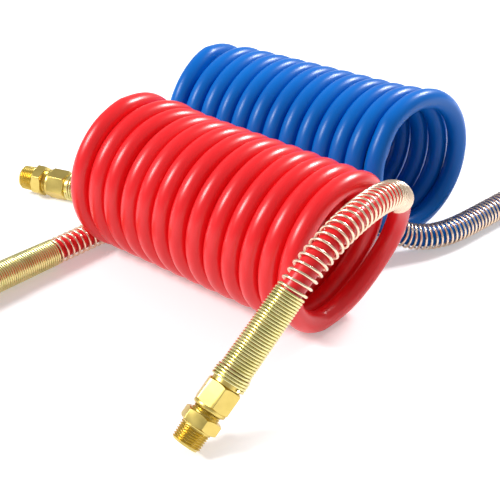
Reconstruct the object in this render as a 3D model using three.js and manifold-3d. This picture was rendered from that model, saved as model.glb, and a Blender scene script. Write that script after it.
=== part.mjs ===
// A pair of self-storing coiled air hoses, one red and one blue, laid side by side on a flat surface.
// Each hose is a coiled nylon tube with a lead at both ends. Every lead ends in a brass compression
// fitting (body, tube insert, ferrule and nut) whose nut carries a wire spring guard.
//
// Millimetres, +Z up. The origin lies on the floor under the middle turn of the red coil, where that
// turn touches the floor, and +X runs along the red coil's axis, from its rear end to its front end.

import * as THREE from 'three';
import { mergeVertices } from 'three/addons/utils/BufferGeometryUtils.js';
import Module from 'manifold-3d';

const wasm = await Module();
wasm.setup();

// ---------------------------------------------------------------- driving dimensions

const clearance = 0.3; // between pieces that touch

const tube = { outerDiameter: 12.7, innerDiameter: 9.55 };

const coil = {
  meanRadius: 43.4,
  turnGap: 0.5, // between one turn and the next
  middleTurn: 7, // turns are counted from the rear end of the coil, and each starts at the floor
  stepsPerTurn: 16,
  sides: 6,
};

// The fitting's stations are measured along its axis, from the tip of the thread.
const thread = { length: 11, wall: 2.7, taper: 1 / 16, chamfer: 1.1 };

const body = {
  hexLength: 7,
  hexWall: 1.7, // from the neck to the hexagon's flats
  neckLength: 10,
  neckWall: 1.2,
  neckChamfer: 0.2,
  shoulder: 0.85, // step that stops the tube insert, in from the tube's outside
  shoulderDepth: 14,
  mouthLength: 2, // cone that the ferrule's nose is pressed into
  mouthDepth: 0.8,
};

const nut = {
  exposedNeck: 2.8, // neck thread left showing between the body's hexagon and the nut
  hexLength: 12.8,
  hexWall: 0.95, // from the thread to the hexagon's flats
  rimLength: 2.6, // turned front end
  rimWall: 1.15,
  rimRound: 1.2,
  tailLength: 6.5,
  tailWall: 1.65,
};

const insert = { wall: 0.7, flangeThickness: 1, flangeInset: 0.35, length: 13 };

const ferrule = { length: 5.2, wall: 0.75, noseLength: 1.5, rearWall: 0.35, seatDepth: 0.7 };

const guard = {
  wireDiameter: 2,
  gripLength: 6.5, // large turns that grip the nut's tail
  closeLength: 56, // turns that touch each other
  closeStartGap: 0.95, // from the tube to the wire, at the nut and at the far end of the close turns
  closeEndGap: 0.45,
  openTurns: 14,
  stepsPerTurn: 7,
  sides: 4,
  shellSides: 8,
  shellRings: 4,
};

const facets = { round: 24, small: 16, rimArc: 3, lead: 8, leadBore: 6, leadSteps: 16 };

const brassLook = { color: 0xd8b24a, roughness: 0.28, metalness: 1 };
const innerBrassLook = { color: 0xc9a24a, roughness: 0.35, metalness: 1 };
const wireLook = { color: 0xcfc69a, roughness: 0.35, metalness: 1 };

// The two hoses. A coil starts and ends at a turn number, and a lead's route is a list of points chosen
// by hand, from the coil to its fitting: x from the coil's own end, y from the coil's axis, z from the
// floor. The last point of a route is the tip of the fitting, and straight is how far back from the tip
// the lead runs dead straight. openLength is how far the spring guard's open turns reach along the
// lead, and hexTurns how many degrees the hexagons are turned from lying flat.
const hoses = [
  {
    name: 'red',
    look: { color: 0xd8141c, roughness: 0.3, metalness: 0 },
    place: { x: 0, y: 0, yawDegrees: 0 },
    startTurn: 0.375,
    endTurn: 13.125,
    rear: {
      straight: 104,
      openLength: 100,
      hexTurns: { body: 0, nut: 12 },
      route: [
        [-2, 46.5, 61.5], [-4.4, 50, 49], [-5.8, 47, 34.5], [-6.8, 38.5, 21.5], [-7.5, 26, 12.9],
        [-7.9, 10, 9.8], [-7.9, -12, 9.6], [-7.9, -34, 9.8], [-7.9, -155, 10.9],
      ],
    },
    front: {
      straight: 90,
      openLength: 122,
      hexTurns: { body: 32, nut: 40 },
      route: [
        [3.8, 47, 36.5], [7.4, 49.6, 49], [11, 46.5, 60.5], [16, 39.5, 71.5], [21.5, 29.5, 81.5],
        [27, 14.5, 90.2], [31.6, -3, 95], [35.4, -22, 97.4], [38.2, -40, 96.8], [39, -56, 92.8],
        [38.6, -69, 87.2], [21, -146.9, 6.2],
      ],
    },
  },
  {
    name: 'blue',
    look: { color: 0x0b4fae, roughness: 0.3, metalness: 0 },
    place: { x: -27.7, y: 117.8, yawDegrees: 6 },
    startTurn: 0.375,
    endTurn: 13.75,
    rear: {
      straight: 50,
      openLength: 100,
      hexTurns: { body: 36, nut: 49 },
      route: [
        [-2, 46.5, 61.5], [-5, 50, 49], [-7.3, 47, 34.5], [-9, 38.5, 21.5], [-10.5, 26, 12.9],
        [-11.4, 10, 9.8], [-12, -12, 9.6], [-12, -32, 9.6], [-12.6, -50, 9.6], [-16, -67.5, 9.8],
        [-23.5, -80.5, 10], [-35, -89, 10.3], [-90.7, -102, 11.2],
      ],
    },
    front: {
      straight: 98,
      openLength: 94,
      hexTurns: { body: 0, nut: 20 },
      route: [
        [1.2, -41.4, 24.3], [2.2, -35.6, 14.8], [3.4, -28.6, 10.6], [5.2, -21.4, 9.6],
        [8.6, -13.8, 9.6], [12.8, -6, 9.6], [15.7, 4, 9.6], [17.8, 16, 9.6], [20.4, 32, 9.7],
        [23.2, 49, 9.8], [42, 161, 10.9],
      ],
    },
  },
];

// ---------------------------------------------------------------- sizes that follow

const tubeRadius = tube.outerDiameter / 2;
const tubeBoreRadius = tube.innerDiameter / 2;
const restDepth = tube.outerDiameter / 10; // the faceted tube is flattened where it rests
const coilPitch = tube.outerDiameter + coil.turnGap;
const axisHeight = coil.meanRadius + tubeRadius - restDepth;
const endStraight = tube.outerDiameter;

const holeRadius = tubeRadius + clearance; // of everything that the tube passes through
const boreRadius = tubeRadius - body.shoulder;
const neckRadius = holeRadius + body.neckWall;
const nutThreadRadius = neckRadius + clearance;
const tailRadius = holeRadius + nut.tailWall;

const hexStart = thread.length;
const hexEnd = hexStart + body.hexLength;
const neckEnd = hexEnd + body.neckLength;
const mouthStart = neckEnd - body.mouthLength;
const nutStart = hexEnd + nut.exposedNeck;
const nutHexStart = nutStart + nut.rimLength;
const nutHexEnd = nutHexStart + nut.hexLength;
const nutEnd = nutHexEnd + nut.tailLength;
const flangeStart = body.shoulderDepth + clearance;
const flangeEnd = flangeStart + insert.flangeThickness;
const tubeEnd = flangeEnd + clearance;
const ferruleStart = neckEnd - ferrule.seatDepth;
const ferruleEnd = ferruleStart + ferrule.length;
const guardStart = nutHexEnd + clearance;
const closeStart = guardStart + guard.gripLength;
const closeEnd = closeStart + guard.closeLength;

// ---------------------------------------------------------------- solids

function solidOf(geometry) {
  const bare = geometry.clone();
  bare.deleteAttribute('normal');
  bare.deleteAttribute('uv');
  const merged = mergeVertices(bare, 1e-4);
  return new wasm.Manifold(new wasm.Mesh({
    numProp: 3,
    vertProperties: new Float32Array(merged.attributes.position.array),
    triVerts: new Uint32Array(merged.index.array),
  }));
}

function geometryOf(solid) {
  const { vertProperties, triVerts } = solid.getMesh();
  const geometry = new THREE.BufferGeometry();
  geometry.setAttribute('position', new THREE.BufferAttribute(vertProperties, 3));
  geometry.setIndex([...triVerts]);
  geometry.computeVertexNormals();
  return geometry;
}

// A solid of revolution about +Y from its profile of [distance along the axis, radius] corners, which
// is closed on to the axis at both ends.
function turned(profile, segments = facets.round) {
  const ends = [[profile[0][0], 0], ...profile, [profile.at(-1)[0], 0]];
  return solidOf(new THREE.LatheGeometry(ends.map(([along, r]) => new THREE.Vector2(r, along)), segments));
}

// A polygon with a corner at angle zero, as a shape or as the hole in one.
function polygon(radius, sides, PathType) {
  const outline = new PathType();
  for (let i = 0; i < sides; i++) {
    const angle = (2 * Math.PI * i) / sides;
    const corner = [radius * Math.cos(angle), radius * Math.sin(angle)];
    if (i === 0) outline.moveTo(...corner);
    else outline.lineTo(...corner);
  }
  outline.closePath();
  return outline;
}

// A hexagonal bar along +Y between two stations, turned about its axis.
function hexBar(cornerRadius, from, to, turnDegrees) {
  const outline = polygon(cornerRadius, 6, THREE.Shape);
  const bar = new THREE.ExtrudeGeometry(outline, { depth: to - from, bevelEnabled: false });
  bar.rotateX(-Math.PI / 2);
  bar.translate(0, from, 0);
  bar.rotateY(-THREE.MathUtils.degToRad(turnDegrees));
  return solidOf(bar);
}

const cornerOf = (flatRadius) => flatRadius / Math.cos(Math.PI / 6);
const chamferLength = (radialDepth) => radialDepth * Math.tan(Math.PI / 6); // cut at 30 degrees

// A tube swept along points with a frame at each, where binormal = direction x normal. Its ends are
// flat. With an inner radius it is a shell, open at both ends. The radii may change along the sweep.
function swept({ frames, sides, radiusAt, innerRadiusAt, turn = 0 }) {
  const corners = [];
  const triangles = [];
  const last = frames.length - 1;
  const addRings = (radiusOf) => {
    const first = corners.length;
    frames.forEach(({ point, normal, binormal }, i) => {
      for (let j = 0; j < sides; j++) {
        const angle = (2 * Math.PI * j) / sides + turn;
        const corner = point.clone().addScaledVector(normal, radiusOf(i) * Math.cos(angle));
        corners.push(corner.addScaledVector(binormal, radiusOf(i) * Math.sin(angle)));
      }
    });
    return first;
  };
  const corner = (first, i, j) => first + i * sides + (j % sides);
  const addQuad = (a, b, c, d) => triangles.push(a, b, c, a, c, d);

  const outer = addRings(radiusAt);
  for (let i = 0; i < last; i++) {
    for (let j = 0; j < sides; j++) {
      const near = [corner(outer, i, j), corner(outer, i, j + 1)];
      addQuad(...near, corner(outer, i + 1, j + 1), corner(outer, i + 1, j));
    }
  }
  if (innerRadiusAt) {
    const inner = addRings(innerRadiusAt);
    for (let i = 0; i < last; i++) {
      for (let j = 0; j < sides; j++) {
        const near = [corner(inner, i, j + 1), corner(inner, i, j)];
        addQuad(...near, corner(inner, i + 1, j), corner(inner, i + 1, j + 1));
      }
    }
    for (let j = 0; j < sides; j++) {
      const start = [corner(outer, 0, j + 1), corner(outer, 0, j)];
      const end = [corner(outer, last, j), corner(outer, last, j + 1)];
      addQuad(...start, corner(inner, 0, j), corner(inner, 0, j + 1));
      addQuad(...end, corner(inner, last, j + 1), corner(inner, last, j));
    }
  } else {
    for (let j = 1; j < sides - 1; j++) {
      triangles.push(corner(outer, 0, 0), corner(outer, 0, j + 1), corner(outer, 0, j));
      triangles.push(corner(outer, last, 0), corner(outer, last, j), corner(outer, last, j + 1));
    }
  }
  const geometry = new THREE.BufferGeometry().setFromPoints(corners);
  geometry.setIndex(triangles);
  return solidOf(geometry);
}

// The smallest gap between stretches of a wound tube that lie more than half a turn apart.
function leastGap(points, pointsPerTurn, diameter) {
  let least = Infinity;
  for (let i = 0; i < points.length; i++) {
    for (let j = i + Math.ceil(pointsPerTurn / 2); j < points.length; j++) {
      least = Math.min(least, points[i].distanceTo(points[j]));
    }
  }
  return least - diameter;
}

// ---------------------------------------------------------------- coil

// The centreline of the coil, with a direction along it and a normal away from its axis.
function coilFrame(turns) {
  const angle = 2 * Math.PI * turns;
  const rise = coilPitch / (2 * Math.PI);
  const normal = new THREE.Vector3(0, Math.sin(angle), -Math.cos(angle));
  const point = normal.clone().multiplyScalar(coil.meanRadius);
  point.x = (turns - coil.middleTurn) * coilPitch;
  point.z += axisHeight;
  const round = new THREE.Vector3(0, Math.cos(angle), Math.sin(angle)).multiplyScalar(coil.meanRadius);
  const direction = round.setX(rise).normalize();
  return { point, direction, normal, binormal: direction.clone().cross(normal) };
}

// One unbroken tube with a straight stretch at both ends, cut flat at the floor.
function makeCoil({ startTurn, endTurn }) {
  const steps = Math.round((endTurn - startTurn) * coil.stepsPerTurn);
  const frames = [];
  for (let i = 0; i <= steps; i++) frames.push(coilFrame(startTurn + i / coil.stepsPerTurn));
  const extend = (frame, length) => ({
    ...frame,
    point: frame.point.clone().addScaledVector(frame.direction, length),
  });
  frames.unshift(extend(frames[0], -endStraight));
  frames.push(extend(frames.at(-1), endStraight));
  const wound = swept({ frames, sides: coil.sides, radiusAt: () => tubeRadius });

  const reach = 2 * coil.meanRadius;
  const belowFloor = new THREE.BoxGeometry(2 * steps * coilPitch, 2 * reach, reach);
  belowFloor.translate(0, 0, -reach / 2);
  return wound.subtract(solidOf(belowFloor));
}

// ---------------------------------------------------------------- leads

// The centreline of a lead, from the coil's end to the tube's end inside the fitting.
function leadCurve(hose, end) {
  const atFront = end === 'front';
  const { point: coilEnd, direction } = coilFrame(atFront ? hose.endTurn : hose.startTurn);
  const away = direction.multiplyScalar(atFront ? 1 : -1);
  const start = coilEnd.clone().addScaledVector(away, endStraight + clearance);
  const lead = start.clone().addScaledVector(away, clearance); // keeps the first step square
  const route = hose[end].route.map(([x, y, z]) => new THREE.Vector3(coilEnd.x + x, y, z));
  const tip = route.pop();
  const back = route.at(-1).clone().sub(tip).normalize();
  const straightPoints = [1, 0.85, 0.5, 0].map((share) =>
    tip.clone().addScaledVector(back, tubeEnd + share * (hose[end].straight - tubeEnd)));
  const points = [start, lead, ...route, ...straightPoints];
  const curve = new THREE.CatmullRomCurve3(points, false, 'centripetal');
  curve.arcLengthDivisions = 600;
  return { curve, tip, back };
}

function makeLead(curve) {
  const section = polygon(tubeRadius, facets.lead, THREE.Shape);
  section.holes.push(polygon(tubeBoreRadius, facets.leadBore, THREE.Path));
  return solidOf(new THREE.ExtrudeGeometry(section, {
    steps: facets.leadSteps,
    bevelEnabled: false,
    extrudePath: curve,
  }));
}

// ---------------------------------------------------------------- spring guard

// Frames along the straight steps that a lead's solid is made of, by the distance from the fitting's
// tip, so that the wire keeps clear of the tube. They point away from the tip.
function spineOf(curve) {
  const steps = facets.leadSteps;
  const points = curve.getSpacedPoints(steps);
  const { normals, binormals } = curve.computeFrenetFrames(steps, false);
  const length = curve.getLength();
  return (distance) => {
    const step = steps * THREE.MathUtils.clamp(1 - (distance - tubeEnd) / length, 0, 1);
    const i = Math.min(Math.floor(step), steps - 1);
    return {
      point: points[i].clone().lerp(points[i + 1], step - i),
      normal: normals[i].clone().lerp(normals[i + 1], step - i).normalize(),
      binormal: binormals[i].clone().lerp(binormals[i + 1], step - i).normalize().negate(),
    };
  };
}

// The turns that touch each other are a shell: the grip on the nut's tail, then the close turns.
function makeCloseTurns(spineAt) {
  const stations = [
    { at: guardStart, inner: tailRadius + clearance },
    { at: nutEnd + clearance, inner: tailRadius + clearance },
  ];
  const closeFrom = nutEnd + guard.wireDiameter;
  for (let i = 0; i <= guard.shellRings; i++) {
    const share = i / guard.shellRings;
    const gap = THREE.MathUtils.lerp(guard.closeStartGap, guard.closeEndGap, share);
    stations.push({ at: THREE.MathUtils.lerp(closeFrom, closeEnd, share), inner: tubeRadius + gap });
  }
  const roundUp = 1 / Math.cos(Math.PI / guard.shellSides); // keeps the flats clear of what is inside
  return swept({
    frames: stations.map(({ at }) => spineAt(at)),
    sides: guard.shellSides,
    radiusAt: (i) => stations[i].inner + guard.wireDiameter,
    innerRadiusAt: (i) => stations[i].inner * roundUp,
  });
}

// The open turns are one wire that starts inside the shell and winds towards the coil.
function makeOpenTurns(spineAt, openLength, label) {
  const wireRadius = guard.wireDiameter / 2;
  const steps = guard.openTurns * guard.stepsPerTurn;
  const roundUp = 1 / Math.cos(Math.PI / guard.stepsPerTurn);
  const windingRadius = (tubeRadius + clearance + wireRadius) * roundUp;
  const from = closeEnd - wireRadius;
  const to = closeEnd + openLength;
  const outwards = [];
  const points = [];
  for (let i = 0; i <= steps; i++) {
    const angle = (2 * Math.PI * i) / guard.stepsPerTurn;
    const { point, normal, binormal } = spineAt(THREE.MathUtils.lerp(from, to, i / steps));
    const outward = normal.multiplyScalar(Math.cos(angle)).addScaledVector(binormal, Math.sin(angle));
    outwards.push(outward);
    points.push(point.addScaledVector(outward, windingRadius));
  }
  const frames = points.map((point, i) => {
    const direction = points[Math.min(i + 1, steps)].clone().sub(points[Math.max(i - 1, 0)]).normalize();
    const normal = outwards[i].clone().addScaledVector(direction, -outwards[i].dot(direction)).normalize();
    return { point, normal, binormal: direction.clone().cross(normal) };
  });
  const gap = leastGap(points, guard.stepsPerTurn, guard.wireDiameter);
  console.log(`${label} spring guard: open turns at least ${gap.toFixed(2)} mm apart`);
  return swept({
    frames,
    sides: guard.sides,
    radiusAt: () => wireRadius,
    turn: Math.PI / guard.sides,
  });
}

// ---------------------------------------------------------------- fitting

function makeBody(hexTurn) {
  const tipRadius = boreRadius + thread.wall;
  const flatRadius = neckRadius + body.hexWall;
  const cornerRadius = cornerOf(flatRadius);
  const hexChamfer = chamferLength(cornerRadius - flatRadius);
  const outside = turned([
    [0, tipRadius - thread.chamfer],
    [thread.chamfer, tipRadius],
    [hexStart + clearance, tipRadius + (thread.taper * hexStart) / 2],
  ]);
  const neck = turned([
    [hexStart, neckRadius],
    [neckEnd - body.neckChamfer, neckRadius],
    [neckEnd, neckRadius - body.neckChamfer],
  ]);
  const hexEnvelope = turned([
    [hexStart, flatRadius],
    [hexStart + hexChamfer, cornerRadius],
    [hexEnd - hexChamfer, cornerRadius],
    [hexEnd, flatRadius],
  ]);
  const hex = hexBar(cornerRadius, hexStart, hexEnd, hexTurn).intersect(hexEnvelope);
  const bore = turned([
    [-clearance, boreRadius],
    [body.shoulderDepth, boreRadius],
    [body.shoulderDepth, holeRadius],
    [mouthStart, holeRadius],
    [neckEnd, holeRadius + body.mouthDepth],
    [neckEnd + clearance, holeRadius + body.mouthDepth],
  ]);
  return outside.add(neck).add(hex).subtract(bore);
}

function makeInsert() {
  const sleeveRadius = tubeBoreRadius * Math.cos(Math.PI / facets.leadBore) - clearance;
  const outside = turned([
    [flangeStart, tubeRadius - insert.flangeInset],
    [flangeEnd, tubeRadius - insert.flangeInset],
    [flangeEnd, sleeveRadius],
    [flangeEnd + insert.length, sleeveRadius],
  ], facets.small);
  const bore = turned([
    [flangeStart - clearance, sleeveRadius - insert.wall],
    [flangeEnd + insert.length + clearance, sleeveRadius - insert.wall],
  ], facets.small);
  return outside.subtract(bore);
}

function makeFerrule() {
  const mouthAtNose = (body.mouthDepth * (ferruleStart - mouthStart)) / body.mouthLength;
  const outside = turned([
    [ferruleStart, holeRadius + mouthAtNose - clearance],
    [ferruleStart + ferrule.noseLength, holeRadius + ferrule.wall],
    [ferruleEnd - ferrule.noseLength, holeRadius + ferrule.wall],
    [ferruleEnd, holeRadius + ferrule.rearWall],
  ], facets.small);
  const bore = turned([
    [ferruleStart - clearance, holeRadius],
    [ferruleEnd + clearance, holeRadius],
  ], facets.small);
  return outside.subtract(bore);
}

function makeNut(hexTurn) {
  const rimRadius = nutThreadRadius + nut.rimWall;
  const flatRadius = nutThreadRadius + nut.hexWall;
  const cornerRadius = cornerOf(flatRadius);
  const rim = [];
  for (let i = 0; i <= facets.rimArc; i++) {
    const angle = (Math.PI / 2) * (i / facets.rimArc);
    const along = nutStart + nut.rimRound * (1 - Math.cos(angle));
    rim.push([along, rimRadius - nut.rimRound * (1 - Math.sin(angle))]);
  }
  const frontEnd = turned([...rim, [nutHexStart + clearance, rimRadius]]);
  const tail = turned([[nutHexStart, tailRadius], [nutEnd, tailRadius]]);
  const hexEnvelope = turned([
    [nutHexStart - chamferLength(cornerRadius - rimRadius), rimRadius],
    [nutHexStart, cornerRadius],
    [nutHexEnd - chamferLength(cornerRadius - tailRadius), cornerRadius],
    [nutHexEnd, tailRadius],
  ]);
  const bar = hexBar(cornerRadius, nutStart + nut.rimRound, nutHexEnd, hexTurn);

  // The thread ends in a 45 degree cone that presses on the ferrule's rear edge.
  const coneAtFerrule = holeRadius + ferrule.rearWall + clearance * Math.SQRT2;
  const bore = turned([
    [nutStart - clearance, nutThreadRadius],
    [ferruleEnd - (nutThreadRadius - coneAtFerrule), nutThreadRadius],
    [ferruleEnd + (coneAtFerrule - holeRadius), holeRadius],
    [nutEnd + clearance, holeRadius],
  ]);
  return frontEnd.add(tail).add(bar.intersect(hexEnvelope)).subtract(bore);
}

// ---------------------------------------------------------------- the set

function addPiece(parent, name, solid, look) {
  const mesh = new THREE.Mesh(geometryOf(solid), new THREE.MeshStandardMaterial(look));
  mesh.name = name;
  parent.add(mesh);
}

function makeEnd(hose, end) {
  const { curve, tip, back } = leadCurve(hose, end);
  const spineAt = spineOf(curve);
  const prefix = `${hose.name}_${end}`;
  const label = `${hose.name} ${end}`;
  console.log(`${label} lead: ${curve.getLength().toFixed(1)} mm of tube`);

  const group = new THREE.Group();
  addPiece(group, `${prefix}_lead`, makeLead(curve), hose.look);
  const { openLength, hexTurns } = hose[end];
  const openTurns = makeOpenTurns(spineAt, openLength, label);
  addPiece(group, `${prefix}_spring_guard`, makeCloseTurns(spineAt).add(openTurns), wireLook);

  // The fitting is modelled along +Y from its tip, and is set at its tip point, pointing back along
  // the lead.
  const fitting = new THREE.Group();
  const side = new THREE.Vector3().crossVectors(back, new THREE.Vector3(0, 0, 1)).normalize();
  const up = new THREE.Vector3().crossVectors(side, back);
  fitting.quaternion.setFromRotationMatrix(new THREE.Matrix4().makeBasis(side, back, up));
  fitting.position.copy(tip);
  addPiece(fitting, `${prefix}_fitting_body`, makeBody(hexTurns.body), brassLook);
  addPiece(fitting, `${prefix}_tube_insert`, makeInsert(), innerBrassLook);
  addPiece(fitting, `${prefix}_ferrule`, makeFerrule(), innerBrassLook);
  addPiece(fitting, `${prefix}_nut`, makeNut(hexTurns.nut), brassLook);
  group.add(fitting);
  return group;
}

function makeHose(hose) {
  const group = new THREE.Group();
  group.position.set(hose.place.x, hose.place.y, 0);
  group.rotation.z = THREE.MathUtils.degToRad(hose.place.yawDegrees);
  addPiece(group, `${hose.name}_coil`, makeCoil(hose), hose.look);
  group.add(makeEnd(hose, 'rear'), makeEnd(hose, 'front'));

  const samplesPerTurn = 48;
  const centreline = [];
  for (let turns = hose.startTurn; turns <= hose.endTurn; turns += 1 / samplesPerTurn) {
    centreline.push(coilFrame(turns).point);
  }
  const gap = leastGap(centreline, samplesPerTurn, tube.outerDiameter);
  console.log(`${hose.name} coil: turns at least ${gap.toFixed(2)} mm apart`);
  return group;
}

const hoseSet = new THREE.Group();
for (const hose of hoses) hoseSet.add(makeHose(hose));

export default hoseSet;
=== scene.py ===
import math

import bpy
import numpy as np
from mathutils import Matrix, Quaternion, Vector


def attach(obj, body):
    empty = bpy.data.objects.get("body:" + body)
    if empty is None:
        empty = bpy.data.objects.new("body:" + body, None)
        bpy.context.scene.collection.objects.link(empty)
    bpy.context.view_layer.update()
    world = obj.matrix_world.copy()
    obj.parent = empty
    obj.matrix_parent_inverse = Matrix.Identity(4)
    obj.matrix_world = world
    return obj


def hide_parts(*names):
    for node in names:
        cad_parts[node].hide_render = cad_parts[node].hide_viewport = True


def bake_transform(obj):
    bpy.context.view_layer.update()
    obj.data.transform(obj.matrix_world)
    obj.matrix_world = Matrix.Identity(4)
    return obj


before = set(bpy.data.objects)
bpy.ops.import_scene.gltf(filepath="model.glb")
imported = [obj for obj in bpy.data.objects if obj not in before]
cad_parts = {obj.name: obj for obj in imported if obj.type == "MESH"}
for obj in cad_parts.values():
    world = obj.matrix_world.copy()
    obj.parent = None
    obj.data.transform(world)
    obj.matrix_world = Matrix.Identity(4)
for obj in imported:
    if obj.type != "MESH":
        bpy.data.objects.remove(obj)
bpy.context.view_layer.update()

# ---------------------------------------------------------------- camera
# A long lens on a 36 mm sensor looks down on the set from beyond the red hose's front end. The
# frame is rolled by less than half a degree, as the photograph is.
camera_place = Vector((0.4722, -0.5223, 0.4007))
camera_target = Vector((0.0418, -0.0293, 0.0483))
camera_roll = 0.0075

bpy.ops.object.select_all(action="DESELECT")
bpy.ops.object.camera_add(location=camera_place)
camera = bpy.context.object
camera.name = "camera"
camera.data.lens = 93.31
camera.data.sensor_width = 36
camera.data.clip_end = 20
camera.rotation_mode = "QUATERNION"
aim = (camera_target - camera_place).to_track_quat("-Z", "Y")
camera.rotation_quaternion = aim @ Quaternion((0, 0, 1), camera_roll)
bpy.context.scene.camera = camera
bpy.context.scene.view_settings.view_transform = "Standard"

# ---------------------------------------------------------------- hoses
# Each hose is one length of half-inch nylon tube, extruded, wound hot round a mandrel and cooled,
# so that its turns lie almost against each other, leaning as they settle. Both of its ends run out
# as leads, and end in blind bores, where the brass inserts sit.
tube_radius = 0.00635
tube_bore_radius = 0.004775
bore_depth = 0.02
turn_pitch = 0.0132
turn_width = 0.0434  # from the coil's axis to the tube's centre, level
turn_height = 0.042765  # and the same, upright
middle_turn = 7
lead_gap = 0.0003  # between the coil's end and a lead, in the frame
tube_end = 0.0156  # from the tip of the thread to the tube's end inside the fitting
run_in_shares = (1, 0.85, 0.5, 0)  # where a lead's straight run has points, from the fitting
steps_per_turn = 96
steps_per_stretch = 24  # between two points of a route
ring_spacing = 0.003
ring_sides = 24
easing_share = 0.012  # of the turns, at both ends of the coil
easing_rounds = 40
pull_ease = 0.06  # of the turns, at both ends, that open out less than the rest

# Where each hose lies, the turns that its coil starts and ends at in the frame, and the route of
# each lead from the coil to its fitting: x from the coil's own end, y from the coil's axis, z from
# the floor. The last point is the tip of the thread, and straight is how far from it the lead runs
# dead straight. The body's and the nut's hexagons are turned by so many degrees.
#
# As it has settled, each coil is wound to a turn of its own: the blue one ends a turn earlier, and
# a bridge of points takes the place of its front lead's first stretches. Each lean row is a number
# of turns, and then how far the coil is shifted along its axis there, how far it leans to the side
# and at the top, how skewed it is between them, and how much wider than the mandrel it has sprung.
hoses = {
    "red": {
        "place": (0.0, 0.0, 0.0),
        "yaw": 0.0,
        "turns": (0.375, 13.125),
        "wound_to": 13.125,
        "lean": [
            (0.375, 0.0006, -0.0001, 0.0039, 0.0032, 0.0020),
            (0.6, 0.0014, 0.0018, 0.0040, 0.0006, 0.0032),
            (1, 0.0024, 0.0021, 0.0035, -0.0025, 0.0020),
            (1.6, 0.0033, 0.0024, 0.0042, -0.0014, 0.0010),
            (2.4, 0.0033, 0.0033, 0.0043, -0.0017, 0.0005),
            (3.6, 0.0040, 0.0022, 0.0054, -0.0011, 0.0002),
            (5.2, 0.0036, 0.0022, 0.0054, -0.0011, 0.0002),
            (7, 0.0039, 0.0015, 0.0062, -0.0007, 0.0002),
            (9, 0.0046, 0.0002, 0.0074, -0.0001, 0.0002),
            (11, 0.0047, -0.0004, 0.0073, -0.0004, 0.0002),
            (12.5, 0.0055, -0.0014, 0.0065, -0.0012, 0.0002),
            (13.125, 0.0059, -0.0010, 0.0062, -0.0008, 0.0002),
        ],
        "rear": {
            "straight": 0.104,
            "hex_turns": (0, 12),
            "route": [
                (-0.002, 0.0465, 0.0615), (-0.0044, 0.05, 0.049), (-0.0058, 0.047, 0.0345),
                (-0.0068, 0.0385, 0.0215), (-0.0075, 0.026, 0.0129), (-0.0079, 0.01, 0.0098),
                (-0.0079, -0.012, 0.0096), (-0.0079, -0.034, 0.0098), (-0.0079, -0.155, 0.0109),
            ],
        },
        "front": {
            "straight": 0.09,
            "hex_turns": (32, 40),
            "route": [
                (0.0038, 0.047, 0.0365), (0.0074, 0.0496, 0.049), (0.011, 0.0465, 0.0605),
                (0.016, 0.0395, 0.0715), (0.0215, 0.0295, 0.0815), (0.027, 0.0145, 0.0902),
                (0.0316, -0.003, 0.095), (0.0354, -0.022, 0.0974), (0.0382, -0.04, 0.0968),
                (0.039, -0.056, 0.0928), (0.0386, -0.069, 0.0872), (0.021, -0.1469, 0.0062),
            ],
        },
    },
    "blue": {
        "place": (-0.0277, 0.1178, 0.0),
        "yaw": 6.0,
        "turns": (0.375, 13.75),
        "wound_to": 12.75,
        "bridge": [
            (0.0725, -0.0395, 0.031), (0.0785, -0.033, 0.0175), (0.086, -0.025, 0.0109),
            (0.0925, -0.0185, 0.0097),
        ],
        "bridged_stretches": 6,
        "lean": [
            (0.375, -0.0009, 0.0037, 0.0001, 0.0018, 0.0008),
            (0.6, -0.0004, 0.0040, 0.0005, 0.0013, 0.0010),
            (1, 0.0005, 0.0046, 0.0011, 0.0005, 0.0006),
            (1.6, 0.0021, 0.0055, 0.0023, -0.0006, 0.0006),
            (2.4, 0.0022, 0.0056, 0.0015, -0.0003, 0.0006),
            (3.6, 0.0024, 0.0062, 0.0009, -0.0001, 0.0006),
            (5.2, 0.0025, 0.0070, 0.0, 0.0002, 0.0006),
            (7, 0.0027, 0.0079, -0.0010, 0.0005, 0.0006),
            (9, 0.0035, 0.0086, -0.0017, 0.0001, 0.0006),
            (10.5, 0.0036, 0.0092, -0.0026, 0.0003, 0.0006),
            (11.5, 0.0034, 0.0098, -0.0027, 0.0004, 0.0010),
            (12.1, 0.0039, 0.0096, -0.0021, 0.0002, 0.0026),
            (12.75, 0.0031, 0.0098, -0.0024, -0.0003, 0.0010),
        ],
        "rear": {
            "straight": 0.05,
            "hex_turns": (36, 49),
            "route": [
                (-0.002, 0.0465, 0.0615), (-0.005, 0.05, 0.049), (-0.0073, 0.047, 0.0345),
                (-0.009, 0.0385, 0.0215), (-0.0105, 0.026, 0.0129), (-0.0114, 0.01, 0.0098),
                (-0.012, -0.012, 0.0096), (-0.012, -0.032, 0.0096), (-0.0126, -0.05, 0.0096),
                (-0.016, -0.0675, 0.0098), (-0.0235, -0.0805, 0.01), (-0.035, -0.089, 0.0103),
                (-0.0907, -0.102, 0.0112),
            ],
        },
        "front": {
            "straight": 0.098,
            "hex_turns": (0, 20),
            "route": [
                (0.0012, -0.0414, 0.0243), (0.0022, -0.0356, 0.0148), (0.0034, -0.0286, 0.0106),
                (0.0052, -0.0214, 0.0096), (0.0086, -0.0138, 0.0096), (0.0128, -0.006, 0.0096),
                (0.0157, 0.004, 0.0096), (0.0178, 0.016, 0.0096), (0.0204, 0.032, 0.0097),
                (0.0232, 0.049, 0.0098), (0.042, 0.161, 0.0109),
            ],
        },
    },
}


def coil_point(turns):
    """The tube's centre after so many turns, which each start at the floor."""
    angle = 2 * math.pi * turns
    height = tube_radius + turn_height * (1 - math.cos(angle))
    return np.array([(turns - middle_turn) * turn_pitch, turn_width * math.sin(angle), height])


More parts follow.
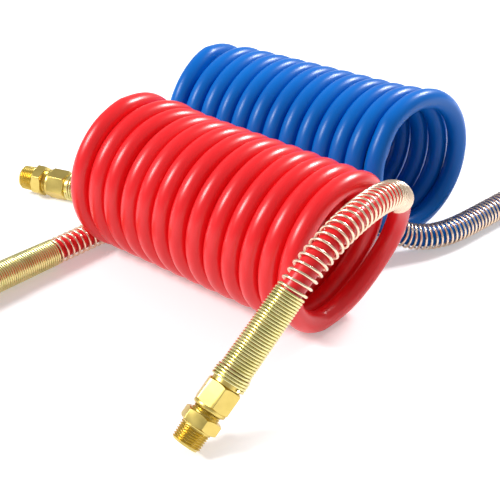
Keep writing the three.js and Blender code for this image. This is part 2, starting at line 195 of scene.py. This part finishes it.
def leaning_point(hose, turns):
    """The same, on the coil as it has settled."""
    angle = 2 * math.pi * turns
    at = [row[0] for row in hose["lean"]]
    columns = list(zip(*hose["lean"]))[1:]
    shift, side, top, skew, sprung = (np.interp(turns, at, column) for column in columns)
    lean = shift + side * math.sin(angle) - top * math.cos(angle) + skew * math.sin(2 * angle)
    wider = sprung * math.sin(angle)
    higher = sprung * (1 - math.cos(angle))
    return coil_point(turns) + np.array([lean, wider, higher])


def smooth_curve(points):
    """A centripetal curve through all the points."""
    ends = [2 * points[0] - points[1], *points, 2 * points[-1] - points[-2]]
    samples = []
    for p0, p1, p2, p3 in zip(ends, ends[1:], ends[2:], ends[3:]):
        t0, t1, t2 = (math.sqrt(np.linalg.norm(b - a)) for a, b in ((p0, p1), (p1, p2), (p2, p3)))
        m1 = ((p1 - p0) / t0 - (p2 - p0) / (t0 + t1) + (p2 - p1) / t1) * t1
        m2 = ((p2 - p1) / t1 - (p3 - p1) / (t1 + t2) + (p3 - p2) / t2) * t1
        for step in range(steps_per_stretch):
            u = step / steps_per_stretch
            samples.append(
                p1 + m1 * u + (-3 * p1 + 3 * p2 - 2 * m1 - m2) * u**2
                + (2 * p1 - 2 * p2 + m1 + m2) * u**3
            )
    return samples + [points[-1]]


def lead_line(hose, end):
    """A lead's centreline from its coil to the tube's end, the thread's tip and the way back."""
    first, last = hose["turns"]
    turns, outward = (last, 0.001) if end == "front" else (first, -0.001)
    coil_end = coil_point(turns)
    away = coil_point(turns + outward) - coil_end
    away = away / np.linalg.norm(away)
    start = coil_end + away * (2 * tube_radius + lead_gap)
    route = [np.array((coil_end[0] + x, y, z)) for x, y, z in hose[end]["route"]]
    tip = route.pop()
    back = (route[-1] - tip) / np.linalg.norm(route[-1] - tip)
    straight = hose[end]["straight"] - tube_end
    run_in = [tip + back * (tube_end + share * straight) for share in run_in_shares]
    return smooth_curve([start, start + away * lead_gap, *route, *run_in]), tip, back


def evenly(points, spacing, *others):
    """The line through the points at even steps, with other values along it."""
    points = np.array(points)
    along = np.concatenate([[0], np.cumsum(np.linalg.norm(np.diff(points, axis=0), axis=1))])
    steps = np.linspace(0, along[-1], round(along[-1] / spacing) + 1)
    even = np.stack([np.interp(steps, along, points[:, k]) for k in range(3)], axis=1)
    return even, along[-1], *(np.interp(steps, along, other) for other in others)


def hose_line(hose):
    """The centreline from end to end, its length, and the share of the turns passed along it."""
    rear = lead_line(hose, "rear")[0][::-1]
    front = lead_line(hose, "front")[0]
    first, last = hose["turns"][0], hose["wound_to"]
    count = round((last - first) * steps_per_turn)
    wound = [leaning_point(hose, first + (last - first) * i / count) for i in range(count + 1)]
    if "bridge" in hose:
        meets = hose["bridged_stretches"] * steps_per_stretch
        onward = (front[meets], front[meets + steps_per_stretch])
        joined = [wound[-1], *(np.array(point) for point in hose["bridge"]), *onward]
        front = smooth_curve(joined)[1:-steps_per_stretch] + front[meets + 1:]
    shares = [0.0] * len(rear) + [i / count for i in range(count + 1)] + [1.0] * len(front)
    points, length, shares = evenly([*rear, *wound, *front], ring_spacing, shares)
    # The tube eases out of its coil over a few diameters, as it does warm.
    leads = (shares[1:-1] < easing_share) | (shares[1:-1] > 1 - easing_share)
    for _ in range(easing_rounds):
        eased = (points[:-2] + 2 * points[1:-1] + points[2:]) / 4
        points[1:-1][leads] = eased[leads]
    turn = Matrix.Rotation(math.radians(hose["yaw"]), 3, "Z")
    points = points @ np.array(turn).T + np.array(hose["place"])
    return points, length, shares


def carried_frames(points):
    """A direction, a normal and a side at each point of a line, that never twist about it."""
    directions = np.gradient(points, axis=0)
    directions /= np.linalg.norm(directions, axis=1)[:, None]
    normal = np.cross(directions[0], (0.0, 0.0, 1.0))
    normals = []
    for direction in directions:
        normal = normal - direction * (normal @ direction)
        normal /= np.linalg.norm(normal)
        normals.append(normal)
    normals = np.array(normals)
    return directions, normals, np.cross(directions, normals)


def spread_turns(shares):
    """How far each point is pulled, from 0 at the rear to 1 at the front, easing at both ends."""
    start = shares**2 / (2 * pull_ease)
    end = 1 - pull_ease - (1 - shares) ** 2 / (2 * pull_ease)
    middle = shares - pull_ease / 2
    pulled = np.where(shares < pull_ease, start, np.where(shares > 1 - pull_ease, end, middle))
    return pulled / (1 - pull_ease)


def make_tube(name, points, shares):
    """The hose as one tube with a blind bore at both ends, first laid out straight, then wound."""
    depth = round(bore_depth / ring_spacing)
    last = len(points) - 1
    rings = [(i, tube_bore_radius) for i in range(depth, -1, -1)]
    rings += [(i, tube_radius) for i in range(last + 1)]
    rings += [(i, tube_bore_radius) for i in range(last, last - depth - 1, -1)]
    stations = np.array([i for i, _ in rings])
    radii = np.array([radius for _, radius in rings])[:, None, None]
    angles = np.linspace(0, 2 * math.pi, ring_sides, endpoint=False)[None, :, None]

    faces = []
    for i in range(len(rings) - 1):
        for j in range(ring_sides):
            k = (j + 1) % ring_sides
            near, far = i * ring_sides, (i + 1) * ring_sides
            faces.append((near + j, near + k, far + k, far + j))
    faces.append(tuple(range(ring_sides))[::-1])
    faces.append(tuple(range((len(rings) - 1) * ring_sides, len(rings) * ring_sides)))

    pulled = spread_turns(shares)[stations]
    x = 0.5 - np.sin(np.arcsin(1 - 2 * np.clip(pulled, 0, 1)) / 3)
    flat = np.concatenate(
        [
            np.broadcast_to(x[:, None, None], (len(rings), ring_sides, 1)),
            radii * np.cos(angles),
            radii * np.sin(angles),
        ],
        axis=2,
    )
    mesh = bpy.data.meshes.new(name)
    mesh.from_pydata(flat.reshape(-1, 3).tolist(), [], faces)
    tube = bpy.data.objects.new(name, mesh)
    bpy.context.scene.collection.objects.link(tube)
    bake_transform(tube)

    # Wound: each ring goes to its place on the centreline.
    _, normals, sides = carried_frames(points)
    normals, sides = normals[stations][:, None, :], sides[stations][:, None, :]
    offsets = radii * (np.cos(angles) * normals + np.sin(angles) * sides)
    wound = points[stations][:, None, :] + offsets
    mesh.vertices.foreach_set("co", wound.astype(np.float32).ravel())
    mesh.shade_smooth()

    # u goes round the tube and comes back, so that it has no seam, and v is metres along it.
    around = np.abs(1 - 2 * np.arange(ring_sides + 1) / ring_sides)
    corners = np.zeros((len(mesh.loops), 2), np.float32)
    for face in range((len(rings) - 1) * ring_sides):
        i, j = divmod(face, ring_sides)
        v = (stations[i] * ring_spacing, stations[i + 1] * ring_spacing)
        u = (around[j], around[j + 1])
        corners[face * 4:face * 4 + 4] = ((u[0], v[0]), (u[1], v[0]), (u[1], v[1]), (u[0], v[1]))
    mesh.uv_layers.new(name="tube").data.foreach_set("uv", corners.ravel())
    mesh.update()
    return tube


class Value:
    """A shader socket. Arithmetic on it adds Math nodes to its finish."""

    def __init__(self, finish, socket):
        self.finish = finish
        self.socket = socket

    def worked(self, operation, first, second):
        return self.finish.node("ShaderNodeMath", {"operation": operation}, {0: first, 1: second})

    def __add__(self, other):
        return self.worked("ADD", self, other)

    def __radd__(self, other):
        return self.worked("ADD", other, self)

    def __rsub__(self, other):
        return self.worked("SUBTRACT", other, self)

    def __mul__(self, other):
        return self.worked("MULTIPLY", self, other)

    def __rmul__(self, other):
        return self.worked("MULTIPLY", other, self)


class Finish:
    """The nodes of a material or of the world, which all come from one method."""

    def __init__(self, owner):
        self.owner = owner
        self.owner.use_nodes = True
        self.tree = self.owner.node_tree
        self.tree.nodes.clear()

    def node(self, kind, settings, inputs, output=0):
        made = self.tree.nodes.new(kind)
        for name, value in settings.items():
            if name == "stops":
                while len(made.color_ramp.elements) < len(value):
                    made.color_ramp.elements.new(0.5)
                for element, (position, colour) in zip(made.color_ramp.elements, value):
                    element.position = position
                    element.color = (*colour, 1)
            else:
                setattr(made, name, value)
        for name, value in inputs.items():
            if isinstance(value, Value):
                self.tree.links.new(value.socket, made.inputs[name])
            else:
                made.inputs[name].default_value = value
        return Value(self, made.outputs[output]) if made.outputs else None

    def noise(self, place, scale, detail=2.0, roughness=0.5):
        values = {"Vector": place, "Scale": scale, "Detail": detail, "Roughness": roughness}
        return self.node("ShaderNodeTexNoise", {}, values)

    def stretched(self, place, scale):
        return self.node("ShaderNodeMapping", {}, {"Vector": place, "Scale": scale})

    def mixed(self, share, first, second):
        settings = {"data_type": "RGBA"}
        return self.node("ShaderNodeMix", settings, {"Factor": share, 6: first, 7: second}, 2)

    def bump(self, height, strength, distance):
        values = {"Height": height, "Strength": strength, "Distance": distance}
        return self.node("ShaderNodeBump", {}, values)

    def close(self, **inputs):
        values = {name.replace("_", " "): value for name, value in inputs.items()}
        shader = self.node("ShaderNodeBsdfPrincipled", {}, values)
        self.node("ShaderNodeOutputMaterial", {}, {"Surface": shader})
        return self.owner


def nylon(name, deep, bright, scuffed, shine):
    """Extruded nylon: even colour, faint die lines along the tube, and a little rubbed bloom."""
    finish = Finish(bpy.data.materials.new(name))
    place = finish.node("ShaderNodeTexCoord", {}, {}, "Object")
    tube = finish.node("ShaderNodeUVMap", {"uv_map": "tube"}, {})
    die_lines = finish.noise(finish.stretched(tube, (60, 2.2, 1)), 1.0, 2.0)
    clouds = finish.noise(place, 22.0, 3.0)
    grain = finish.noise(place, 900.0, 2.0)
    rubbed = finish.noise(finish.stretched(tube, (5, 70, 1)), 1.0, 4.0, 0.65)
    rub = finish.node(
        "ShaderNodeMapRange", {"interpolation_type": "SMOOTHSTEP"},
        {"Value": rubbed, "From Min": 0.56, "From Max": 0.8, "To Max": 0.55},
    )
    base = finish.mixed(clouds * 0.7 + die_lines * 0.3, deep, bright)
    colour = finish.mixed(rub * 0.35, base, scuffed)
    roughness = 0.27 + clouds * 0.05 + rub * 0.2 + die_lines * 0.03
    normal = finish.bump(die_lines * 0.8 + grain * 0.2, 0.35, 0.00012)
    return finish.close(
        Base_Color=colour, Roughness=roughness, Normal=normal, Specular_IOR_Level=shine,
    )


nylons = {
    "red": nylon(
        "red nylon", (0.78, 0.004, 0.009, 1), (0.93, 0.020, 0.026, 1), (0.9, 0.1, 0.1, 1), 0.5),
    "blue": nylon(
        "blue nylon", (0.0, 0.10, 0.46, 1), (0.0, 0.185, 0.68, 1), (0.01, 0.27, 0.75, 1), 0.24),
}
hose_lines = {}
for colour, hose in hoses.items():
    points, length, shares = hose_line(hose)
    tube = make_tube(f"{colour}_hose", points, shares)
    tube.data.materials.append(nylons[colour])
    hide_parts(f"{colour}_coil", f"{colour}_rear_lead", f"{colour}_front_lead")
    hose_lines[colour] = (points, length)
    print(f"{colour} hose: {length:.3f} m of tube")

# ---------------------------------------------------------------- spring guards
# At each end a plated wire spring keeps the tube from kinking at its fitting. It is coiled from one
# wire: large turns that grip the nut's tail, a long run of turns that touch, and then open turns
# that end loose round the lead. Distances are from the tip of the thread.
wire_radius = 0.0008
points_per_turn = 22
line_spacing = 0.0005
guard_reach = 0.3  # no guard goes further along its hose than this
grip_radius = 0.0093  # of the winding, to the wire's centre
guard_radius = 0.0079
touching_to = 0.0922
open_from = 0.0970
guard_winding = [  # distance, turns so far, radius of the winding
    (0.0375, 0, grip_radius),
    (0.0430, 3.3, grip_radius),
    (0.0452, 4.5, 0.0084),
    (touching_to, 32.9, guard_radius),
    (0.0945, 33.9, guard_radius),
]
open_turns = {  # distance, turns so far
    ("red", "rear"): [(0.1970, 56), (0.1990, 57)],
    ("red", "front"): [(0.1940, 56), (0.2090, 60.5), (0.2210, 65.5)],
    ("blue", "rear"): [(0.1970, 55), (0.1990, 56)],
    ("blue", "front"): [(0.2080, 65.5), (0.2110, 66.7)],
}


def wind_guard(name, line, winding):
    """One wire wound round a line that starts at the tube's end and runs towards the coil."""
    fine = evenly(line, line_spacing)[0]
    _, normals, sides = carried_frames(fine)
    station, turn, radius = (np.array(column) for column in zip(*winding))
    turns = np.linspace(0, turn[-1], int(turn[-1] * points_per_turn))
    along = np.interp(turns, turn, station)
    reach = np.interp(turns, turn, radius)
    index = (along - tube_end) / line_spacing
    at = np.stack([np.interp(index, np.arange(len(fine)), fine[:, k]) for k in range(3)], axis=1)
    nearest = np.round(index).astype(int)
    angle = (2 * math.pi * turns)[:, None]
    outward = np.cos(angle) * normals[nearest] + np.sin(angle) * sides[nearest]
    places = at + outward * reach[:, None]

    data = bpy.data.curves.new(name, "CURVE")
    data.dimensions = "3D"
    data.bevel_depth = wire_radius
    data.bevel_resolution = 2
    data.use_fill_caps = True
    wire = data.splines.new("POLY")
    wire.points.add(len(places) - 1)
    wire.points.foreach_set("co", np.c_[places, np.ones(len(places))].ravel())
    guard = bpy.data.objects.new(name, data)
    bpy.context.scene.collection.objects.link(guard)
    bpy.ops.object.select_all(action="DESELECT")
    guard.select_set(True)
    bpy.context.view_layer.objects.active = guard
    bpy.ops.object.convert(target="MESH")
    guard = bpy.context.object
    guard.data.shade_smooth()

    # Each vertex keeps its distance from the tip of the thread, also at the wire's capped ends.
    ring = len(guard.data.vertices) // len(places)
    caps = len(guard.data.vertices) - ring * len(places)
    stations = np.pad(np.repeat(along, ring), (0, caps), mode="edge")
    stored = guard.data.attributes.new("station", "FLOAT", "POINT")
    stored.data.foreach_set("value", stations.astype(np.float32))
    return guard


def plated_wire():
    """Zinc plate with a passivated film: olive yellow where the turns touch, rosy where open."""
    finish = Finish(bpy.data.materials.new("plated wire"))
    place = finish.node("ShaderNodeTexCoord", {}, {}, "Object")
    film = finish.noise(place, 75.0, 3.0, 0.6)
    fine = finish.noise(place, 700.0, 2.0)
    rosy_stops = [
        (0.3, (0.74, 0.64, 0.44)), (0.45, (0.90, 0.72, 0.54)), (0.6, (0.86, 0.64, 0.48)),
        (0.74, (0.78, 0.66, 0.42)),
    ]
    olive_stops = [
        (0.3, (0.56, 0.55, 0.20)), (0.5, (0.80, 0.72, 0.34)), (0.7, (0.66, 0.60, 0.22)),
    ]
    rosy, olive = (
        finish.node("ShaderNodeValToRGB", {"stops": stops}, {"Fac": film * 0.8 + fine * 0.2})
        for stops in (rosy_stops, olive_stops)
    )
    station = finish.node("ShaderNodeAttribute", {"attribute_name": "station"}, {}, "Fac")
    opened = finish.node(
        "ShaderNodeMapRange", {},
        {"Value": station, "From Min": touching_to, "From Max": open_from},
    )
    drawn = finish.noise(finish.stretched(place, (1600, 1600, 1600)), 1.0, 1.0)
    return finish.close(
        Base_Color=finish.mixed(opened, olive, rosy), Metallic=1.0, Roughness=0.2 + film * 0.14,
        Normal=finish.bump(drawn, 0.2, 0.00003),
    )


guard_wire = plated_wire()
hose_ends = {}
reach = int(guard_reach / ring_spacing)
for colour, (points, _) in hose_lines.items():
    for end in ("rear", "front"):
        line = points if end == "rear" else points[::-1]
        winding = guard_winding + [(*row, guard_radius) for row in open_turns[colour, end]]
        guard = wind_guard(f"{colour}_{end}_guard_spring", line[:reach], winding)
        guard.data.materials.append(guard_wire)
        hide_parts(f"{colour}_{end}_spring_guard")
        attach(guard, "root" if end == "rear" else f"{colour}_pull_end")
        hose_ends[colour, end] = [guard]

# ---------------------------------------------------------------- fitting bodies
# The body of each compression fitting is turned from hexagonal brass bar: a taper pipe thread at
# the tip, the hexagon for a spanner, and a neck with a fine thread for the nut. Distances along Z
# are from the tip of the thread, and the bore runs right through.
turned_segments = 64
rows_per_pitch = 10  # of corners along a surface that a thread is cut in
body_hex = (0.011, 0.018, 0.00955)  # from, to, and half the width across the flats
hex_slant = math.pi / 6
broken_edge = 0.00018
face_step = 0.0002  # from a hexagon's flats in to the rim of its end face
tip_radius = 0.0071
pipe_radii = (0.00821, 0.00853)  # of the taper, near the tip and at the hexagon
pipe_pitch = 0.001411
pipe_depth = 0.00105
relief_radius = 0.0076
neck_end = 0.028
neck_radius = 0.00785
neck_pitch = 0.00127
neck_depth = 0.0007
body_bore = 0.0055
neck_bore = 0.00665
neck_mouth = 0.00748


def turned_bar(name, corners):
    """A turned bar about Z with flat ends, from its (distance, radius) corners."""
    distance, radius = corners[0]
    bpy.ops.object.select_all(action="DESELECT")
    bpy.ops.mesh.primitive_circle_add(
        vertices=turned_segments, radius=radius, fill_type="NGON", location=(0, 0, distance),
    )
    bar = bpy.context.object
    bar.name = name
    bpy.ops.object.transform_apply(location=True, rotation=True, scale=True)
    bpy.ops.object.mode_set(mode="EDIT")
    bpy.ops.mesh.select_mode(type="FACE")
    bpy.ops.mesh.select_all(action="SELECT")
    for next_distance, next_radius in corners[1:]:
        step = (0, 0, next_distance - distance)
        share = next_radius / radius
        bpy.ops.mesh.extrude_region_move(TRANSFORM_OT_translate={"value": step})
        bpy.ops.transform.resize(value=(share, share, 1), center_override=(0, 0, next_distance))
        distance, radius = next_distance, next_radius
    bpy.ops.mesh.select_all(action="SELECT")
    bpy.ops.mesh.normals_make_consistent(inside=False)
    bpy.ops.object.mode_set(mode="OBJECT")
    return bar


def hex_bar(name, start, end, half_width):
    """A length of hexagonal bar with its long edges just broken."""
    bpy.ops.object.select_all(action="DESELECT")
    bpy.ops.mesh.primitive_cylinder_add(
        vertices=6, radius=half_width / math.cos(hex_slant), depth=end - start,
        location=(0, 0, (start + end) / 2), rotation=(0, 0, hex_slant),
    )
    bar = bpy.context.object
    bar.name = name
    bpy.ops.object.transform_apply(location=True, rotation=True, scale=True)
    bpy.ops.object.mode_set(mode="EDIT")
    bpy.ops.mesh.select_mode(type="EDGE")
    bpy.ops.mesh.select_all(action="DESELECT")
    bpy.ops.object.mode_set(mode="OBJECT")
    for long_edge in bar.data.edges:
        low, high = (bar.data.vertices[i].co for i in long_edge.vertices)
        long_edge.select = abs(low.z - high.z) > (end - start) / 2
    bpy.ops.object.mode_set(mode="EDIT")
    bpy.ops.mesh.bevel(offset=broken_edge, segments=2, affect="EDGES")
    bpy.ops.object.mode_set(mode="OBJECT")
    return bar


def combine(piece, tool, operation):
    """Joins, cuts or trims one piece with another, which is used up."""
    modifier = piece.modifiers.new("combine", "BOOLEAN")
    modifier.operation = operation
    modifier.solver = "EXACT"
    modifier.object = tool
    bpy.ops.object.select_all(action="DESELECT")
    bpy.context.view_layer.objects.active = piece
    bpy.ops.object.modifier_apply(modifier="combine")
    bpy.data.objects.remove(tool)


def cut_thread(piece, start, full, fade, end, pitch, depth):
    """Cuts a thread, flat at crest and root, that fades in from start and out towards end."""
    for vertex in piece.data.vertices:
        x, y, z = vertex.co
        radius = math.hypot(x, y)
        if not start < z < end or radius < depth * 2:
            continue
        phase = (z / pitch - math.atan2(y, x) / (2 * math.pi)) % 1
        groove = min(1.0, max(0.0, 1.2 * abs(2 * phase - 1) - 0.1))
        share = min(1.0, (z - start) / (full - start), (end - z) / (end - fade))
        narrower = 1 - depth * (1 - groove) * share / radius
        vertex.co.x = x * narrower
        vertex.co.y = y * narrower


def rows_between(start, end, radius_start, radius_end, spacing):
    """Evenly spaced corners of a profile, close enough together to cut a thread in."""
    count = round((end - start) / spacing)
    shares = [i / count for i in range(count + 1)]
    return [
        (start + (end - start) * s, radius_start + (radius_end - radius_start) * s) for s in shares
    ]


def make_body():
    from_z, to_z, half_width = body_hex
    corner = half_width / math.cos(hex_slant)
    chamfer = (corner - half_width) * math.tan(hex_slant)
    # The chamfered tip and the taper, a core inside the hexagon, a relief, and the neck.
    outside = [(0, tip_radius), (0.0011, 0.0082)]
    outside += rows_between(0.00125, 0.0106, *pipe_radii, pipe_pitch / rows_per_pitch)
    outside += [(0.0111, pipe_radii[1]), (from_z + 0.001, 0.00845)]
    outside += [(to_z - 0.001, relief_radius), (to_z + 0.0003, relief_radius)]
    outside += rows_between(
        to_z + 0.0005, neck_end - 0.0003, neck_radius, neck_radius, neck_pitch / rows_per_pitch,
    )
    outside += [(neck_end, neck_radius - 0.0002)]
    piece = turned_bar("fitting_body", outside)
    cut_thread(
        piece, start=0.0003, full=0.0012, fade=0.0092, end=0.0108,
        pitch=pipe_pitch, depth=pipe_depth,
    )
    cut_thread(
        piece, start=to_z + 0.0004, full=to_z + 0.0009, fade=neck_end - 0.0006, end=neck_end,
        pitch=neck_pitch, depth=neck_depth,
    )
    hexagon = hex_bar("hexagon", from_z, to_z, half_width)
    envelope = turned_bar("envelope", [
        (from_z, half_width - face_step), (from_z + chamfer + 0.00012, corner),
        (to_z - chamfer - 0.00012, corner), (to_z, half_width - face_step),
    ])
    combine(hexagon, envelope, "INTERSECT")
    combine(piece, hexagon, "UNION")
    # The bore flares at the tip, steps out for the tube and its insert, and opens to the ferrule.
    bore = turned_bar("bore", [
        (-0.001, body_bore + 0.0014), (0.0005, body_bore), (0.014, body_bore),
        (0.01401, neck_bore), (0.026, neck_bore), (0.0281, neck_mouth), (0.029, neck_mouth),
    ])
    combine(piece, bore, "DIFFERENCE")
    return piece


def keep_turned_place(piece):
    """Stores the place on the lathe, so that the turning lines stay with the metal."""
    places = np.zeros(len(piece.data.vertices) * 3, np.float32)
    piece.data.vertices.foreach_get("co", places)
    stored = piece.data.attributes.new("lathe", "FLOAT_VECTOR", "POINT")
    stored.data.foreach_set("vector", places)


def machined_brass(name, deep, bright, polish):
    """Bright drawn brass with fine turning lines, faint tarnish and handling marks."""
    finish = Finish(bpy.data.materials.new(name))
    place = finish.node("ShaderNodeTexCoord", {}, {}, "Object")
    lathe = finish.node("ShaderNodeAttribute", {"attribute_name": "lathe"}, {}, "Vector")
    lines = finish.noise(finish.stretched(lathe, (20, 20, 5200)), 1.0, 2.0, 0.6)
    tarnish = finish.noise(place, 130.0, 4.0, 0.6)
    specks = finish.noise(place, 1500.0, 2.0)
    colour = finish.mixed(tarnish, deep, bright)
    roughness = polish + tarnish * 0.1 + lines * 0.08
    normal = finish.bump(lines * 0.8 + specks * 0.2, 0.4, 0.00003)
    return finish.close(Base_Color=colour, Metallic=1.0, Roughness=roughness, Normal=normal)


def seat(hose, end, hex_turn):
    """The matrix that puts a fitting piece, made along Z from the thread's tip, on its lead."""
    _, tip, back = lead_line(hose, end)
    side = Vector(back).cross((0, 0, 1)).normalized()
    up = side.cross(Vector(back))
    axes = Matrix((side, -up, Vector(back))).transposed().to_4x4()
    hexagon = Matrix.Rotation(-math.radians(hex_turn), 4, "Z")
    turn = Matrix.Rotation(math.radians(hose["yaw"]), 4, "Z")
    return Matrix.Translation(hose["place"]) @ turn @ Matrix.Translation(tip) @ axes @ hexagon


brass = machined_brass("brass", (0.56, 0.42, 0.10, 1), (0.80, 0.63, 0.20, 1), 0.24)


def fit_to_ends(pattern, which, node):
    """Copies a fitting piece, with a mesh of its own each, to the four ends of the hoses."""
    for colour, hose in hoses.items():
        for end in ("rear", "front"):
            copy = pattern.copy()
            copy.data = pattern.data.copy()
            copy.name = f"{colour}_{end}_{pattern.name}"
            bpy.context.scene.collection.objects.link(copy)
            copy.data.transform(seat(hose, end, hose[end]["hex_turns"][which]))
            copy.data.materials.append(brass)
            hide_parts(f"{colour}_{end}_{node}")
            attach(copy, "root" if end == "rear" else f"{colour}_pull_end")
            hose_ends[colour, end].append(copy)
    bpy.data.objects.remove(pattern)


def finish_turned(piece, name):
    """Smooths what was turned, leaves the flats flat, and frees the piece from the lathe."""
    piece.name = name
    keep_turned_place(piece)
    bpy.ops.object.select_all(action="DESELECT")
    piece.select_set(True)
    bpy.context.view_layer.objects.active = piece
    bpy.ops.object.shade_smooth_by_angle(angle=math.radians(32))


body = make_body()
finish_turned(body, "brass_body")
fit_to_ends(body, 0, "fitting_body")

# ---------------------------------------------------------------- nuts
# The nut screws on to the neck and squeezes the ferrule. It is turned brass too: a rounded front
# rim, a hexagon and a plain tail that the spring guard's first turns grip.
nut_hex = (0.0234, 0.0362, 0.0091)
nut_start = 0.0208
nut_end = 0.0427
nut_rim_radius = 0.0093
nut_tail_radius = 0.0083
nut_thread_radius = 0.00815
rim_round = 0.0012
rim_steps = 6


def make_nut():
    from_z, to_z, half_width = nut_hex
    corner = half_width / math.cos(hex_slant)
    hex_front = from_z - 0.0004
    outside = []
    for step in range(rim_steps + 1):
        angle = math.pi / 2 * step / rim_steps
        outside.append((
            nut_start + rim_round * (1 - math.cos(angle)),
            nut_rim_radius - rim_round * (1 - math.sin(angle)),
        ))
    outside += [(0.0229, nut_rim_radius), (0.0231, nut_rim_radius - 0.00025)]
    outside += [(from_z + 0.001, nut_rim_radius - 0.00045), (to_z - 0.001, nut_tail_radius)]
    outside += [(to_z + 0.0003, nut_tail_radius), (nut_end - 0.0004, nut_tail_radius)]
    outside += [(nut_end, nut_tail_radius - 0.0004)]
    piece = turned_bar("nut", outside)
    hexagon = hex_bar("hexagon", hex_front, to_z, half_width)
    tail_chamfer = (corner - nut_tail_radius) * math.tan(hex_slant)
    envelope = turned_bar("envelope", [
        (hex_front, nut_rim_radius - 0.0003), (from_z + 0.0003, corner),
        (to_z - tail_chamfer, corner), (to_z, nut_tail_radius),
    ])
    combine(hexagon, envelope, "INTERSECT")
    combine(piece, hexagon, "UNION")
    bore = turned_bar("bore", [
        (nut_start - 0.001, 0.0091), (nut_start + 0.0002, nut_thread_radius),
        (0.0316, nut_thread_radius), (0.0331, neck_bore), (nut_end + 0.001, neck_bore),
    ])
    combine(piece, bore, "DIFFERENCE")
    return piece


nut = make_nut()
finish_turned(nut, "brass_nut")
fit_to_ends(nut, 1, "nut")

# ---------------------------------------------------------------- inserts and ferrules
# Inside each fitting a thin brass sleeve holds the tube's end open and a brass ring grips it. Both
# are the frame's own solids, and only the sleeve's flange can be seen, down the bore.


def inner_brass():
    """Plain turned brass, duller than the outside, as it comes from the machine."""
    finish = Finish(bpy.data.materials.new("inner brass"))
    place = finish.node("ShaderNodeTexCoord", {}, {}, "Object")
    patches = finish.noise(place, 260.0, 3.0)
    rings = finish.noise(place, 2400.0, 1.0)
    colour = finish.mixed(patches, (0.62, 0.42, 0.15, 1), (0.78, 0.56, 0.24, 1))
    return finish.close(
        Base_Color=colour, Metallic=1.0, Roughness=0.26 + patches * 0.14,
        Normal=finish.bump(rings, 0.3, 0.00003),
    )


sleeve_brass = inner_brass()
for colour in hoses:
    for end in ("rear", "front"):
        for part in ("tube_insert", "ferrule"):
            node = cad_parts[f"{colour}_{end}_{part}"]
            for material_slot in node.material_slots:
                material_slot.material = sleeve_brass
            hose_ends[colour, end].append(node)

# For each hose, the point where its rear nut ends is found along its line, and the pieces at both
# of its ends are put in one list.
for colour, (points, length) in hose_lines.items():
    inward = (points[1] - points[0]) / np.linalg.norm(points[1] - points[0])
    rear_nut_end = points[0] + inward * (nut_end - tube_end)
    hose_ends[colour, "rear"] + hose_ends[colour, "front"]

# ---------------------------------------------------------------- floor and light
# The set lies on a seamless white sheet. A large soft light stands in front on the left, a smaller
# one hangs behind and above, and white walls fill in the rest.
bpy.ops.object.select_all(action="DESELECT")
bpy.ops.mesh.primitive_plane_add(size=14, location=(0, 0, 0))
floor = bpy.context.object
floor.name = "floor"
bpy.ops.object.transform_apply(location=True, rotation=True, scale=True)

# The sheet's glow, for the camera and for reflections alone, makes up what the lamps leave short
# of white: some of it under the set, and all of it far off.
sheet = Finish(bpy.data.materials.new("white sheet"))
camera_ray = sheet.node("ShaderNodeLightPath", {}, {}, "Is Camera Ray")
glossy_ray = sheet.node("ShaderNodeLightPath", {}, {}, "Is Glossy Ray")
seen = sheet.node("ShaderNodeMath", {"operation": "MAXIMUM"}, {0: camera_ray, 1: glossy_ray})
place = sheet.node("ShaderNodeTexCoord", {}, {}, "Object")
wide = sheet.stretched(place, (0.33, 0.33, 0.33))
near = sheet.node("ShaderNodeTexGradient", {"gradient_type": "SPHERICAL"}, {"Vector": wide}, "Fac")
glow = sheet.node(
    "ShaderNodeEmission", {}, {"Color": (1, 1, 1, 1), "Strength": (1.0 - 0.7 * near) * seen},
)
matt = sheet.node(
    "ShaderNodeBsdfDiffuse", {}, {"Color": (0.9, 0.895, 0.905, 1), "Roughness": 0.0},
)
together = sheet.node("ShaderNodeAddShader", {}, {0: glow, 1: matt})
sheet.node("ShaderNodeOutputMaterial", {}, {"Surface": together})
floor.data.materials.append(sheet.owner)

lamps = [  # name, place, aim, width, height, watts
    ("soft light", (-0.9, -1.3, 1.35), (0.0, 0.0, 0.05), 0.66, 0.54, 37.0),
    ("back light", (0.2, 1.4, 1.15), (0.0, 0.05, 0.05), 0.4, 0.3, 30.0),
]
for name, place, target, width, height, watts in lamps:
    bpy.ops.object.light_add(type="AREA", location=place)
    lamp = bpy.context.object
    lamp.name = name
    lamp.data.shape = "RECTANGLE"
    lamp.data.size = width
    lamp.data.size_y = height
    lamp.data.energy = watts
    lamp.rotation_mode = "QUATERNION"
    lamp.rotation_quaternion = (Vector(target) - Vector(place)).to_track_quat("-Z", "Y")

# The walls look white to the camera, light the set with about a quarter of that, and show in its
# gloss at about half.
room = Finish(bpy.data.worlds.new("white room"))
bpy.context.scene.world = room.owner
camera_ray = room.node("ShaderNodeLightPath", {}, {}, "Is Camera Ray")
through_ray = room.node("ShaderNodeLightPath", {}, {}, "Is Transmission Ray")
glossy_ray = room.node("ShaderNodeLightPath", {}, {}, "Is Glossy Ray")
direct = room.node("ShaderNodeMath", {"operation": "MAXIMUM"}, {0: camera_ray, 1: through_ray})
strength = 0.28 + 0.72 * direct + 0.2 * glossy_ray
walls = room.node("ShaderNodeBackground", {}, {"Color": (1, 1, 1, 1), "Strength": strength})
room.node("ShaderNodeOutputWorld", {}, {"Surface": walls})
